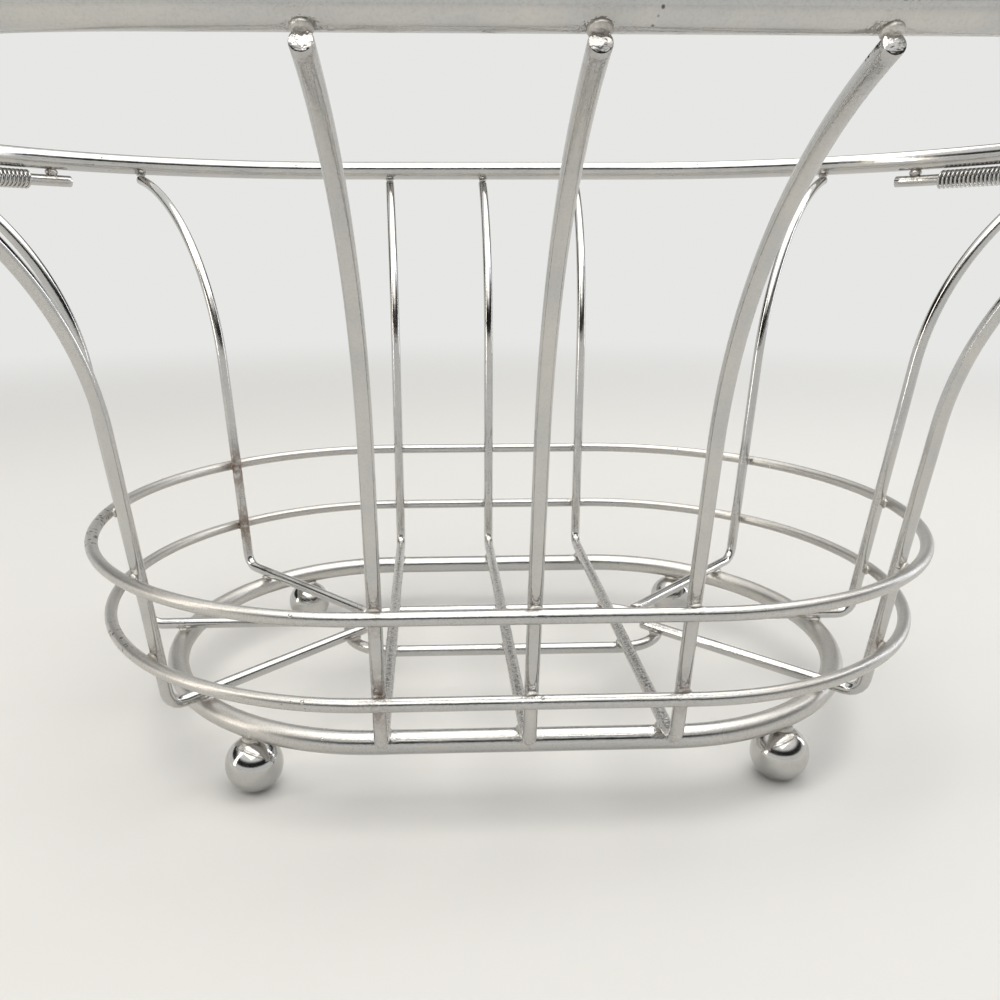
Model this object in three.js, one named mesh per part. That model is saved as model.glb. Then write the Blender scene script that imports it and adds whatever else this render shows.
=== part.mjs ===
// Oval wire fruit basket on four ball feet: chrome-plated steel wires, welded where they cross.
// Millimetres, +Z up. The origin is on the table, under the middle of the basket. X runs along the oval.

import * as THREE from 'three';

// Wire and ball sizes
const thinWire = 3.6;
const baseWire = 6.5;
const rimWire = 7;
const gripWire = 4;
const coilWire = 0.9;
const footDiameter = 16;
const footFlat = 5;
const weldGap = 0.3;

// Ovals in plan: two straights joined by half circles, measured on the wire's centre line
const hoopStraight = 80;
const baseRadius = 67.5;
const innerStraight = 73;
const innerRadius = 16;
const rimStraight = 121;
const rimRadius = 134;

// Ribs: where they turn up from the floor, how they lean, and how far the flare has turned at the rim
const ribFootRadius = 79.3;
const ribBend = 5;
const ribLean = THREE.MathUtils.degToRad(5.9);
const ribOverhang = 0.4;
const sideFlare = THREE.MathUtils.degToRad(66);
const cornerFlare = THREE.MathUtils.degToRad(78);
const endFlare = THREE.MathUtils.degToRad(84);

// Heights above the floor wires
const lowerHoopRise = 15.7;
const upperHoopRise = 39.2;
const rimRise = 150.7;

// Places in plan
const crossSpacing = 37.2;
const crossSpacingAtRim = 40.2;
const cornerFootAngle = THREE.MathUtils.degToRad(44.5);
const cornerRimAngle = THREE.MathUtils.degToRad(54.5);
const cornerRunEnd = 8.5;
const endRunEnd = 8.5;
const footAngle = THREE.MathUtils.degToRad(59.5);

// Grip rod under each end of the rim, with its coil
const gripLength = 198;
const gripOverhang = 7;
const spacerHeight = 1.2;
const spacerDiameter = 4.6;
const spacerFace = 3;
const coilInset = 9.5;
const coilClearance = 0.45;
const coilTurns = 48;

// Fineness of the facets
const wireSides = 8;
const coilSides = 5;
const endArcSteps = 20;
const flareSteps = 8;
const bendSteps = 4;
const gripSteps = 18;
const coilStepsPerTurn = 8;
const footSides = 16;
const footRings = 10;

// Heights that follow from the sizes above
const footRadius = footDiameter / 2;
const footCentre = Math.sqrt(footRadius ** 2 - (footFlat / 2) ** 2);
const baseHeight = footCentre + footRadius + weldGap + baseWire / 2;
const floorHeight = baseHeight + baseWire / 2 + weldGap + thinWire / 2;
const innerHeight = floorHeight - thinWire - weldGap;
const lowerHoopHeight = floorHeight + lowerHoopRise;
const upperHoopHeight = floorHeight + upperHoopRise;
const rimHeight = floorHeight + rimRise;
const gripDrop = rimWire / 2 + weldGap + spacerHeight + weldGap + gripWire / 2;
const gripHeight = rimHeight - gripDrop;

const chrome = { color: 0xd6d8da, roughness: 0.1, metalness: 1 };
const scuffedChrome = { color: 0xc4c6c8, roughness: 0.22, metalness: 1 };
const springSteel = { color: 0xaeb2b8, roughness: 0.28, metalness: 1 };

const up = new THREE.Vector3(0, 0, 1);

// A wire's centre line as stations, each with its own tangent. One extrusion step joins two stations.
class WireLine extends THREE.Curve {
  constructor(stations) {
    super();
    this.stations = stations;
  }

  getUtoTmapping(u) {
    return u;
  }

  between(t, key, target) {
    const place = t * (this.stations.length - 1);
    const index = Math.min(Math.floor(place), this.stations.length - 2);
    return target.lerpVectors(this.stations[index][key], this.stations[index + 1][key], place - index);
  }

  getPoint(t, target = new THREE.Vector3()) {
    return this.between(t, 'point', target);
  }

  getTangent(t, target = new THREE.Vector3()) {
    return this.between(t, 'tangent', target).normalize();
  }
}

// A round section with its corners on the true radius
function roundSection(diameter, sides) {
  const corners = [];
  for (let side = 0; side < sides; side += 1) {
    const angle = (side / sides) * 2 * Math.PI;
    corners.push(new THREE.Vector2(Math.cos(angle), Math.sin(angle)).multiplyScalar(diameter / 2));
  }
  return new THREE.Shape(corners);
}

// An open wire with square-cut ends
function openWire(stations, diameter, sides) {
  return new THREE.ExtrudeGeometry(roundSection(diameter, sides), {
    steps: stations.length - 1,
    extrudePath: new WireLine(stations),
    bevelEnabled: false,
  });
}

// Stations along an arc about the vertical through the given centre
function levelArc(centreX, height, radius, from, to, steps) {
  const stations = [];
  for (let step = 0; step <= steps; step += 1) {
    const angle = from + ((to - from) * step) / steps;
    stations.push({
      point: new THREE.Vector3(centreX + radius * Math.cos(angle), radius * Math.sin(angle), height),
      tangent: new THREE.Vector3(-Math.sin(angle), Math.cos(angle), 0),
    });
  }
  return stations;
}

// A closed oval: a half circle at each end, joined by two straights
function oval(straight, radius, height, diameter) {
  const half = Math.PI / 2;
  const right = levelArc(straight / 2, height, radius, -half, half, endArcSteps);
  const left = levelArc(-straight / 2, height, radius, half, 3 * half, endArcSteps);
  const stations = [...right, ...left, right[0]];
  return new THREE.TubeGeometry(new WireLine(stations), stations.length - 1, diameter / 2, wireSides, true);
}

// A point on an oval's end arc, on the side that the signs give
function onOval(straight, radius, angle, signX, signY) {
  const x = signX * (straight / 2 + radius * Math.cos(angle));
  return new THREE.Vector3(x, signY * radius * Math.sin(angle), 0);
}

// The round bend between two straight directions that leave one corner
function bend(corner, towards, away, radius) {
  const halfAngle = towards.angleTo(away) / 2;
  const middle = towards.clone().add(away).normalize();
  const centre = corner.clone().addScaledVector(middle, radius / Math.sin(halfAngle));
  const start = corner.clone().addScaledVector(towards, radius / Math.tan(halfAngle)).sub(centre);
  const turn = Math.PI - 2 * halfAngle;
  const axis = new THREE.Vector3().crossVectors(away, towards).normalize();
  const stations = [];
  for (let step = 0; step <= bendSteps; step += 1) {
    const arm = start.clone().applyAxisAngle(axis, (turn * step) / bendSteps);
    const tangent = new THREE.Vector3().crossVectors(axis, arm).normalize();
    stations.push({ point: arm.add(centre), tangent });
  }
  return stations;
}

// The straight and flared part of a rib, from its corner on the floor to the rim. The flare is an arc that
// starts along the lean and has turned by the flare angle where it meets the rim, at the given offset below
// the rim's centre line. The rib ends past that place by the overhang, or short of it if that is negative.
function flare(corner, rimPoint, flareAngle, offset, overhang) {
  const outward = new THREE.Vector3(rimPoint.x - corner.x, rimPoint.y - corner.y, 0);
  const across = outward.length() + offset * Math.cos(flareAngle);
  const rise = rimHeight - corner.z - offset * Math.sin(flareAngle);
  outward.normalize();
  const cosines = Math.cos(ribLean) - Math.cos(flareAngle);
  const sines = Math.sin(flareAngle) - Math.sin(ribLean);
  const share = Math.sin(ribLean) * sines - Math.cos(ribLean) * cosines;
  const radius = (rise * Math.sin(ribLean) - across * Math.cos(ribLean)) / share;
  const straight = (across * sines - rise * cosines) / share;
  const lean = outward.clone().multiplyScalar(Math.sin(ribLean)).addScaledVector(up, Math.cos(ribLean));
  const centre = corner.clone().addScaledVector(lean, straight);
  centre.addScaledVector(outward, radius * Math.cos(ribLean)).addScaledVector(up, -radius * Math.sin(ribLean));
  const last = flareAngle + overhang / radius;
  const stations = [];
  for (let step = 0; step <= flareSteps; step += 1) {
    const angle = ribLean + ((last - ribLean) * step) / flareSteps;
    const point = centre.clone().addScaledVector(outward, -radius * Math.cos(angle));
    point.addScaledVector(up, radius * Math.sin(angle));
    const tangent = outward.clone().multiplyScalar(Math.sin(angle)).addScaledVector(up, Math.cos(angle));
    stations.push({ point, tangent });
  }
  return { lean, stations };
}

// A rib's bend and flare, where its floor run comes in along the given direction
function upright(foot, rimPoint, inward, flareAngle, offset, overhang) {
  const corner = new THREE.Vector3(foot.x, foot.y, floorHeight);
  const top = flare(corner, rimPoint, flareAngle, offset, overhang);
  return [...bend(corner, inward, top.lean, ribBend), ...top.stations];
}

function reversed(stations) {
  const turned = stations.map(({ point, tangent }) => ({ point, tangent: tangent.clone().negate() }));
  return turned.reverse();
}

// Side and corner ribs pass under the rim, touching it along their upper side
const underRim = rimWire / 2 + weldGap + thinWire / 2;

// A cross wire: one length that is a rib in front, a floor run and a rib behind
function crossWire(place) {
  const frontFoot = new THREE.Vector3(place * crossSpacing, -ribFootRadius, 0);
  const frontRim = new THREE.Vector3(place * crossSpacingAtRim, -rimRadius, 0);
  const mirror = new THREE.Vector3(1, -1, 1);
  const backFoot = frontFoot.clone().multiply(mirror);
  const backRim = frontRim.clone().multiply(mirror);
  const inward = new THREE.Vector3(0, 1, 0);
  const outward = inward.clone().negate();
  const front = upright(frontFoot, frontRim, inward, sideFlare, underRim, ribOverhang);
  const back = upright(backFoot, backRim, outward, sideFlare, underRim, ribOverhang);
  return openWire([...reversed(front), ...back], thinWire, wireSides);
}

// A corner rib: its floor run points at the middle of the hoops' end arc
function cornerRib(signX, signY) {
  const foot = onOval(hoopStraight, ribFootRadius, cornerFootAngle, signX, signY);
  const rimPoint = onOval(rimStraight, rimRadius, cornerRimAngle, signX, signY);
  const runEnd = onOval(hoopStraight, cornerRunEnd, cornerFootAngle, signX, signY);
  const inward = runEnd.clone().sub(foot).normalize();
  const rib = upright(foot, rimPoint, inward, cornerFlare, underRim, ribOverhang);
  const start = { point: runEnd.setZ(floorHeight), tangent: inward.clone().negate() };
  return openWire([start, ...rib], thinWire, wireSides);
}

// An end rib butts against the inside of the rim, above the grip
function endRib(signX) {
  const foot = onOval(hoopStraight, ribFootRadius, 0, signX, 1);
  const rimPoint = onOval(rimStraight, rimRadius, 0, signX, 1);
  const runEnd = onOval(hoopStraight, endRunEnd, 0, signX, 1);
  const inward = new THREE.Vector3(-signX, 0, 0);
  const rib = upright(foot, rimPoint, inward, endFlare, 0, -(rimWire / 2 + weldGap));
  const start = { point: runEnd.setZ(floorHeight), tangent: inward.clone().negate() };
  return openWire([start, ...rib], thinWire, wireSides);
}

// The hoops lie outside the ribs, which lean
function hoopRadius(rise) {
  return ribFootRadius + rise * Math.tan(ribLean) + (thinWire + weldGap) / Math.cos(ribLean);
}

// A ball with a small flat ground on it to stand on
function foot() {
  const profile = [new THREE.Vector2(0, 0)];
  const flatAngle = Math.asin(footFlat / footDiameter);
  for (let ring = 0; ring < footRings; ring += 1) {
    const angle = flatAngle + ((Math.PI - flatAngle) * ring) / footRings;
    const height = footCentre - footRadius * Math.cos(angle);
    profile.push(new THREE.Vector2(footRadius * Math.sin(angle), height));
  }
  profile.push(new THREE.Vector2(0, footCentre + footRadius));
  return new THREE.LatheGeometry(profile, footSides).rotateX(Math.PI / 2);
}

// The angle that a length takes up on the rim's end arc
function gripAngle(length) {
  return length / rimRadius;
}

function gripRod(signX) {
  const reach = gripAngle(gripLength / 2);
  const facing = signX > 0 ? 0 : Math.PI;
  const centreX = (signX * rimStraight) / 2;
  const stations = levelArc(centreX, gripHeight, rimRadius, facing - reach, facing + reach, gripSteps);
  return openWire(stations, gripWire, wireSides);
}

// A small bellied disc, welded between the grip rod and the rim to keep the coil clear of the rim
function gripSpacer() {
  const profile = [
    new THREE.Vector2(0, 0),
    new THREE.Vector2(spacerFace / 2, 0),
    new THREE.Vector2(spacerDiameter / 2, spacerHeight / 2),
    new THREE.Vector2(spacerFace / 2, spacerHeight),
    new THREE.Vector2(0, spacerHeight),
  ];
  return new THREE.LatheGeometry(profile, footSides).rotateX(Math.PI / 2);
}

// The coil's centre line: a helix about the grip rod's own arc, with a short straight run at each end
function coilLine(signX) {
  const coilRadius = gripWire / 2 + coilClearance + coilWire / 2;
  const reach = gripAngle(gripLength / 2 - gripOverhang - coilInset);
  const centreX = (signX * rimStraight) / 2;
  const facing = signX > 0 ? 0 : Math.PI;
  const steps = coilTurns * coilStepsPerTurn;
  const points = [];
  for (let step = 0; step <= steps; step += 1) {
    const along = facing - reach + (2 * reach * step) / steps;
    const turn = (2 * Math.PI * step) / coilStepsPerTurn;
    const radius = rimRadius + coilRadius * Math.cos(turn);
    const height = gripHeight + coilRadius * Math.sin(turn);
    points.push(new THREE.Vector3(centreX + radius * Math.cos(along), radius * Math.sin(along), height));
  }
  const first = points[0].clone().sub(points[1]).setLength(coilWire).add(points[0]);
  const last = points[steps].clone().sub(points[steps - 1]).setLength(coilWire).add(points[steps]);
  return [first, ...points, last];
}

function coilStations(points) {
  return points.map((point, index) => {
    const before = points[Math.max(index - 1, 0)];
    const after = points[Math.min(index + 1, points.length - 1)];
    return { point, tangent: after.clone().sub(before).normalize() };
  });
}

// The least gap between one turn and another, measured on the points of the centre line
function leastCoilGap(points) {
  let least = Infinity;
  points.forEach((point, index) => {
    for (let other = index + coilStepsPerTurn / 2; other < points.length; other += 1) {
      least = Math.min(least, point.distanceTo(points[other]));
    }
  });
  return least - coilWire;
}

const basket = new THREE.Group();

function addPart(name, geometry, finish, place = new THREE.Vector3()) {
  const part = new THREE.Mesh(geometry, new THREE.MeshStandardMaterial(finish));
  part.name = name;
  part.position.copy(place);
  basket.add(part);
}

// Ovals
addPart('rim', oval(rimStraight, rimRadius, rimHeight, rimWire), chrome);
addPart('upper_hoop', oval(hoopStraight, hoopRadius(upperHoopRise), upperHoopHeight, thinWire), chrome);
addPart('lower_hoop', oval(hoopStraight, hoopRadius(lowerHoopRise), lowerHoopHeight, thinWire), chrome);
addPart('base_ring', oval(hoopStraight, baseRadius, baseHeight, baseWire), chrome);
addPart('inner_ring', oval(innerStraight, innerRadius, innerHeight, thinWire), chrome);

// Cross wires and ribs
addPart('cross_wire_left', crossWire(-1), scuffedChrome);
addPart('cross_wire_middle', crossWire(0), scuffedChrome);
addPart('cross_wire_right', crossWire(1), scuffedChrome);

const ends = [
  { end: 'left', signX: -1 },
  { end: 'right', signX: 1 },
];
const sides = [
  { side: 'front', signY: -1 },
  { side: 'back', signY: 1 },
];

for (const { end, signX } of ends) {
  addPart(`end_rib_${end}`, endRib(signX), chrome);
  addPart(`grip_rod_${end}`, gripRod(signX), chrome);
  const line = coilLine(signX);
  console.log(`least gap between turns of the ${end} coil: ${leastCoilGap(line).toFixed(2)} mm`);
  addPart(`grip_coil_${end}`, openWire(coilStations(line), coilWire, coilSides), springSteel);
  for (const { side, signY } of sides) {
    addPart(`corner_rib_${side}_${end}`, cornerRib(signX, signY), chrome);
    const footPlace = onOval(hoopStraight, baseRadius, footAngle, signX, signY);
    addPart(`foot_${side}_${end}`, foot(), chrome, footPlace);
    const weldAngle = gripAngle(gripLength / 2 - gripOverhang);
    const spacerPlace = onOval(rimStraight, rimRadius, weldAngle, signX, signY);
    spacerPlace.setZ(gripHeight + gripWire / 2 + weldGap);
    addPart(`grip_spacer_${side}_${end}`, gripSpacer(), chrome, spacerPlace);
  }
}

export default basket;
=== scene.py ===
"""Looks of the wire fruit basket: smooth plated wires, welds, wound grips and ball feet in a pale studio.

Metres, +Z up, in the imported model's own frame. Every wire is bent from a circle by straight pushes and turns,
as a bending machine does it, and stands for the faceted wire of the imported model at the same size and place.
"""

import logging
import math
import random
from dataclasses import dataclass, field, replace
from enum import Enum
from typing import Iterable

import bmesh
import bpy
from bmesh.types import BMesh
from bpy.types import Material, Mesh, Node, NodeSocket, NodeTree, Object
from mathutils import Matrix, Vector
from mathutils.kdtree import KDTree


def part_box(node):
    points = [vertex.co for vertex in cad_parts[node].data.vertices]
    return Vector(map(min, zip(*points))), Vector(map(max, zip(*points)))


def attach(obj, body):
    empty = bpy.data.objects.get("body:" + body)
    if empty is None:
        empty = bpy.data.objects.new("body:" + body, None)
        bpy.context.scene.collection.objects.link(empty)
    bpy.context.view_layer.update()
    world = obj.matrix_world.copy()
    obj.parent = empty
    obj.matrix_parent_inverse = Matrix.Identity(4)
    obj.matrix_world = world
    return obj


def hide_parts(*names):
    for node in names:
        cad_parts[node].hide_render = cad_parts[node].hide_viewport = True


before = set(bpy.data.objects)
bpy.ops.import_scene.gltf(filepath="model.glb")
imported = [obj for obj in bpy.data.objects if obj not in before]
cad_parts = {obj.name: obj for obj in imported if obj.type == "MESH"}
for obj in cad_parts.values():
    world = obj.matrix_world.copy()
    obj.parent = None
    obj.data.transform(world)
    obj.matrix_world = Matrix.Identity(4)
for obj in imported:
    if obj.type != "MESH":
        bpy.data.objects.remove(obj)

log = logging.getLogger("basket")

MM = 0.001
BODY = "root"
UP = Vector((0.0, 0.0, 1.0))

# Edges sharper than this stay sharp in the shading.
SHARP_ANGLE = math.radians(38)

# How near two points are merged: where a ring closes, between a coil's turns and on a spacer's axis.
RING_SEAM = 0.02 * MM
COIL_SEAM = 0.01 * MM
SPACER_SEAM = 0.005 * MM

# How often the spheres of beads and nibs are divided.
LUMP_DIVISIONS = 3

# Marks that a mesh carries for its finish to read, and how far a strong one spreads.
STAIN = "weld_stain"
SPATTER = "weld_spatter"
PITTING = "rust_pitting"
STAIN_SPREAD = 6.2 * MM
SPATTER_SPREAD = 3.4 * MM
PITTING_SPREAD = 10 * MM
SPATTER_STRENGTH = 0.6

# The share of that spread which the faintest mark has, and what full strength adds to it.
FAINT_SPREAD = 0.45
ADDED_SPREAD = 0.75


class End(Enum):
    """The two ends of the oval, with the sign of X there."""

    LEFT = -1
    RIGHT = 1


class Side(Enum):
    """The two long sides, with the sign of Y there."""

    FRONT = -1
    BACK = 1


def linear(hex_colour: str) -> tuple[float, float, float, float]:
    """Turns an sRGB hex colour into linear light.

    Args:
        hex_colour: six hex digits after a hash.

    Returns:
        Red, green, blue and an alpha of 1.
    """
    channels = [int(hex_colour[place:place + 2], 16) / 255 for place in (1, 3, 5)]
    light = [c / 12.92 if c <= 0.04045 else ((c + 0.055) / 1.055) ** 2.4 for c in channels]
    return (light[0], light[1], light[2], 1.0)


def add_node(tree: NodeTree, kind: str, inputs: dict | None = None, **settings) -> Node:
    """Adds a node with its settings, and links or sets its inputs.

    Args:
        tree: the node tree.
        kind: the node's type name.
        inputs: socket name or number to a value, or to another node's output.
        settings: the node's own properties.

    Returns:
        The new node.
    """
    made = tree.nodes.new(kind)
    for key, value in settings.items():
        setattr(made, key, value)
    for socket, value in (inputs or {}).items():
        if isinstance(value, NodeSocket):
            tree.links.new(value, made.inputs[socket])
        else:
            made.inputs[socket].default_value = value
    return made


def per_mm(size_mm: float) -> float:
    """The texture scale at which one cell of a pattern is this many millimetres wide."""
    return 1 / (size_mm * MM)


@dataclass(frozen=True)
class Mottle:
    """An uneven pattern: a noise, of which what lies between two levels is stretched into a mask.

    Attributes:
        width_mm: width of a blotch.
        low: the level at which the mask starts.
        high: the level at which it is full.
        detail: number of finer noises that are added.
        roughness: how strong these are.
    """

    width_mm: float
    low: float
    high: float
    detail: float = 2.0
    roughness: float = 0.5

    def mask(self, tree: NodeTree, place: NodeSocket, least: float = 0.0, most: float = 1.0) -> NodeSocket:
        """Adds the pattern to a material.

        Args:
            tree: the node tree.
            place: object coordinates.
            least: the mask under the low level.
            most: the mask over the high level.

        Returns:
            The mask.
        """
        noise = add_node(tree, "ShaderNodeTexNoise", {
            "Vector": place, "Scale": per_mm(self.width_mm),
            "Detail": self.detail, "Roughness": self.roughness})
        stretched = add_node(tree, "ShaderNodeMapRange", {
            "Value": noise.outputs["Fac"], "From Min": self.low, "From Max": self.high,
            "To Min": least, "To Max": most})
        return stretched.outputs["Result"]


@dataclass(frozen=True)
class ChromePlate:
    """Chrome plate over nickel on steel, as years of use leave it.

    New plate is a hard mirror. Rubbing turns it satin in patches with a fine grain, what lies on the floor
    wires frosts them with short scratches, rust eats clusters of pits, and round a weld, where the plate is
    thin and lies over spatter, it is lumpy and turns brown.

    Attributes:
        name: the finish's name.
        tint: colour of what the clean plate reflects.
        rubbed: colour of what the rubbed plate reflects.
        rust: colour of the stain at a weld.
        pit: colour of a pit and of the grain.
        gloss: roughness of the clean plate.
        haze: roughness of the rubbed plate.
        frost: roughness of the scuffed wire.
        rust_roughness: what rust adds to the roughness.
        pit_roughness: what a pit adds to the roughness.
        rust_cover: how much of the bare metal rust hides.
        patches: the rubbed patches.
        patchy: how far the patches are rubbed.
        bend_mm: how far along X the wire starts to bend, which leaves it satin, or no bends at zero.
        bend_fade_mm: the length over which it turns satin.
        scuff_top_mm: height under which the wire is scuffed by what lies on it, or none at zero.
        scuff_fade_mm: the height over which the scuffs end.
        scratches: the scuffs' pattern.
        least_scuff: how scuffed the wire is between its scratches.
        grain_mm: width of a grain. The real grain is finer, and is drawn this coarse so that it shows.
        grain_low: the level of the grain's noise at which a speck starts.
        grain_high: the level at which a speck is full.
        grain: how dark the grain is.
        pit_mm: distance between the pits of a cluster.
        pit_core: radius of a pit's dark middle, as a share of that distance.
        pit_edge: radius of a whole pit, in the same way.
        pit_shade: how dark the middle is.
        pit_growth: how much larger a pit is where the wire is marked as pitted.
        cluster_mm: width of a cluster.
        cluster_edge: level of the cluster noise over which there are pits.
        cluster_fade: how far over that level the pits are in full.
        stains: what breaks up the brown stain.
        peel_mm: width of a ripple in the plate.
        peel: how strongly ripples, grain and pits bend a reflection.
        peel_height_mm: height of a ripple.
        grain_height: height of the grain, as a share of a ripple's.
        pit_depth: depth of a pit, in the same way.
        lump_mm: width of a drop of spatter or of a scuff's dent.
        lump_height_mm: height of a drop.
        scuff_lumps: how strongly the dents bend a reflection.
    """

    name: str
    tint: str = "#BEBEBD"
    rubbed: str = "#CAC8C4"
    rust: str = "#5F3F22"
    pit: str = "#45413D"
    gloss: float = 0.16
    haze: float = 0.36
    frost: float = 0.34
    rust_roughness: float = 0.42
    pit_roughness: float = 0.25
    rust_cover: float = 0.6
    patches: Mottle = Mottle(11.0, 0.36, 0.7, 5.0, 0.6)
    patchy: float = 1.0
    bend_mm: float = 0.0
    bend_fade_mm: float = 45.0
    scuff_top_mm: float = 0.0
    scuff_fade_mm: float = 4.0
    scratches: Mottle = Mottle(1.1, 0.42, 0.58, 6.0, 0.75)
    least_scuff: float = 0.3
    grain_mm: float = 0.45
    grain_low: float = 0.46
    grain_high: float = 0.72
    grain: float = 0.12
    pit_mm: float = 1.7
    pit_core: float = 0.1
    pit_edge: float = 0.2
    pit_shade: float = 0.85
    pit_growth: float = 0.2
    cluster_mm: float = 17.0
    cluster_edge: float = 0.6
    cluster_fade: float = 0.06
    stains: Mottle = Mottle(2.2, 0.34, 0.56, 5.0, 0.65)
    peel_mm: float = 2.6
    peel: float = 0.1
    peel_height_mm: float = 0.4
    grain_height: float = 0.15
    pit_depth: float = 1.2
    lump_mm: float = 1.1
    lump_height_mm: float = 0.8
    scuff_lumps: float = 0.3

    def material(self) -> Material:
        """Builds the finish's material.

        Returns:
            The material, on object coordinates.
        """
        made = bpy.data.materials.new(self.name)
        made.use_nodes = True
        tree = made.node_tree
        shader = tree.nodes["Principled BSDF"]
        place = add_node(tree, "ShaderNodeTexCoord").outputs["Object"]

        scuffs = self.scuffs(tree, place)
        pits = self.pits(tree, place)
        rust = self.rust_mask(tree, place)
        spatter = add_node(tree, "ShaderNodeAttribute", attribute_name=SPATTER).outputs["Fac"]
        worn = self.patches.mask(tree, place, most=self.patchy)
        for mask in (scuffs, self.bends(tree, place)):
            worn = add_node(tree, "ShaderNodeMath", {0: worn, 1: mask}, operation="MAXIMUM").outputs["Value"]
        grain = add_node(tree, "ShaderNodeTexNoise", {
            "Vector": place, "Scale": per_mm(self.grain_mm), "Detail": 2.0, "Roughness": 0.7}).outputs["Fac"]
        specks = add_node(tree, "ShaderNodeMapRange", {
            "Value": grain, "From Min": self.grain_low, "From Max": self.grain_high,
            "To Max": self.grain}).outputs["Result"]

        colour = linear(self.tint)
        for mask, tone in ((worn, self.rubbed), (specks, self.pit), (rust, self.rust), (pits, self.pit)):
            colour = add_node(tree, "ShaderNodeMix", {"Factor": mask, "A": colour, "B": linear(tone)},
                              data_type="RGBA").outputs["Result"]
        tree.links.new(colour, shader.inputs["Base Color"])

        rough = add_node(tree, "ShaderNodeMapRange", {
            "Value": worn, "To Min": self.gloss, "To Max": self.haze}).outputs["Result"]
        added = ((scuffs, self.frost - self.haze), (rust, self.rust_roughness), (pits, self.pit_roughness))
        for mask, share in added:
            rough = add_node(tree, "ShaderNodeMath", {0: mask, 1: share, 2: rough},
                             operation="MULTIPLY_ADD").outputs["Value"]
        tree.links.new(rough, shader.inputs["Roughness"])
        metal = add_node(tree, "ShaderNodeMath", {0: rust, 1: -self.rust_cover, 2: 1.0},
                         operation="MULTIPLY_ADD")
        tree.links.new(metal.outputs["Value"], shader.inputs["Metallic"])

        height = add_node(tree, "ShaderNodeTexNoise", {
            "Vector": place, "Scale": per_mm(self.peel_mm), "Detail": 3.0}).outputs["Fac"]
        for mask, share in ((grain, self.grain_height), (pits, -self.pit_depth)):
            height = add_node(tree, "ShaderNodeMath", {0: mask, 1: share, 2: height},
                              operation="MULTIPLY_ADD").outputs["Value"]
        ripples = add_node(tree, "ShaderNodeBump", {
            "Height": height, "Strength": self.peel, "Distance": self.peel_height_mm * MM})
        drops = add_node(tree, "ShaderNodeTexNoise", {
            "Vector": place, "Scale": per_mm(self.lump_mm), "Detail": 2.0})
        uneven = add_node(tree, "ShaderNodeMath", {0: scuffs, 1: self.scuff_lumps, 2: spatter},
                          operation="MULTIPLY_ADD")
        lumps = add_node(tree, "ShaderNodeBump", {
            "Height": drops.outputs["Fac"], "Strength": uneven.outputs["Value"],
            "Distance": self.lump_height_mm * MM, "Normal": ripples.outputs["Normal"]})
        tree.links.new(lumps.outputs["Normal"], shader.inputs["Normal"])
        return made

    def bends(self, tree: NodeTree, place: NodeSocket) -> NodeSocket | float:
        """Makes the mask of a ring's bends, where the wire's skin was stretched before plating.

        Args:
            tree: the node tree.
            place: object coordinates.

        Returns:
            The mask, or 0 where the finish has none.
        """
        if not self.bend_mm:
            return 0.0
        along = add_node(tree, "ShaderNodeSeparateXYZ", {"Vector": place}).outputs["X"]
        far = add_node(tree, "ShaderNodeMath", {0: along}, operation="ABSOLUTE")
        bent = add_node(tree, "ShaderNodeMapRange", {
            "Value": far.outputs["Value"], "From Min": self.bend_mm * MM,
            "From Max": (self.bend_mm + self.bend_fade_mm) * MM}, interpolation_type="SMOOTHSTEP")
        return bent.outputs["Result"]

    def scuffs(self, tree: NodeTree, place: NodeSocket) -> NodeSocket | float:
        """Makes the mask of the scuffs on a floor wire.

        Args:
            tree: the node tree.
            place: object coordinates.

        Returns:
            The mask, or 0 where the finish has none.
        """
        if not self.scuff_top_mm:
            return 0.0
        height = add_node(tree, "ShaderNodeSeparateXYZ", {"Vector": place}).outputs["Z"]
        low = add_node(tree, "ShaderNodeMapRange", {
            "Value": height, "From Min": self.scuff_top_mm * MM,
            "From Max": (self.scuff_top_mm + self.scuff_fade_mm) * MM, "To Min": 1.0, "To Max": 0.0})
        marks = self.scratches.mask(tree, place, least=self.least_scuff)
        both = add_node(tree, "ShaderNodeMath", {0: low.outputs["Result"], 1: marks}, operation="MULTIPLY")
        return both.outputs["Value"]

    def pits(self, tree: NodeTree, place: NodeSocket) -> NodeSocket:
        """Makes the mask of the pits: dots that come in clusters.

        Args:
            tree: the node tree.
            place: object coordinates.

        Returns:
            The mask.
        """
        cells = add_node(tree, "ShaderNodeTexVoronoi", {"Vector": place, "Scale": per_mm(self.pit_mm)})
        noted = add_node(tree, "ShaderNodeAttribute", attribute_name=PITTING).outputs["Fac"]
        wider = add_node(tree, "ShaderNodeMath", {
            0: noted, 1: -self.pit_growth, 2: cells.outputs["Distance"]}, operation="MULTIPLY_ADD")
        dot = add_node(tree, "ShaderNodeMapRange", {
            "Value": wider.outputs["Value"], "From Min": self.pit_core, "From Max": self.pit_edge,
            "To Min": self.pit_shade, "To Max": 0.0})
        clusters = Mottle(self.cluster_mm, self.cluster_edge, self.cluster_edge + self.cluster_fade)
        where = add_node(tree, "ShaderNodeMath", {0: clusters.mask(tree, place), 1: noted},
                         operation="MAXIMUM")
        both = add_node(tree, "ShaderNodeMath", {0: dot.outputs["Result"], 1: where.outputs["Value"]},
                        operation="MULTIPLY")
        return both.outputs["Value"]

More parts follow.
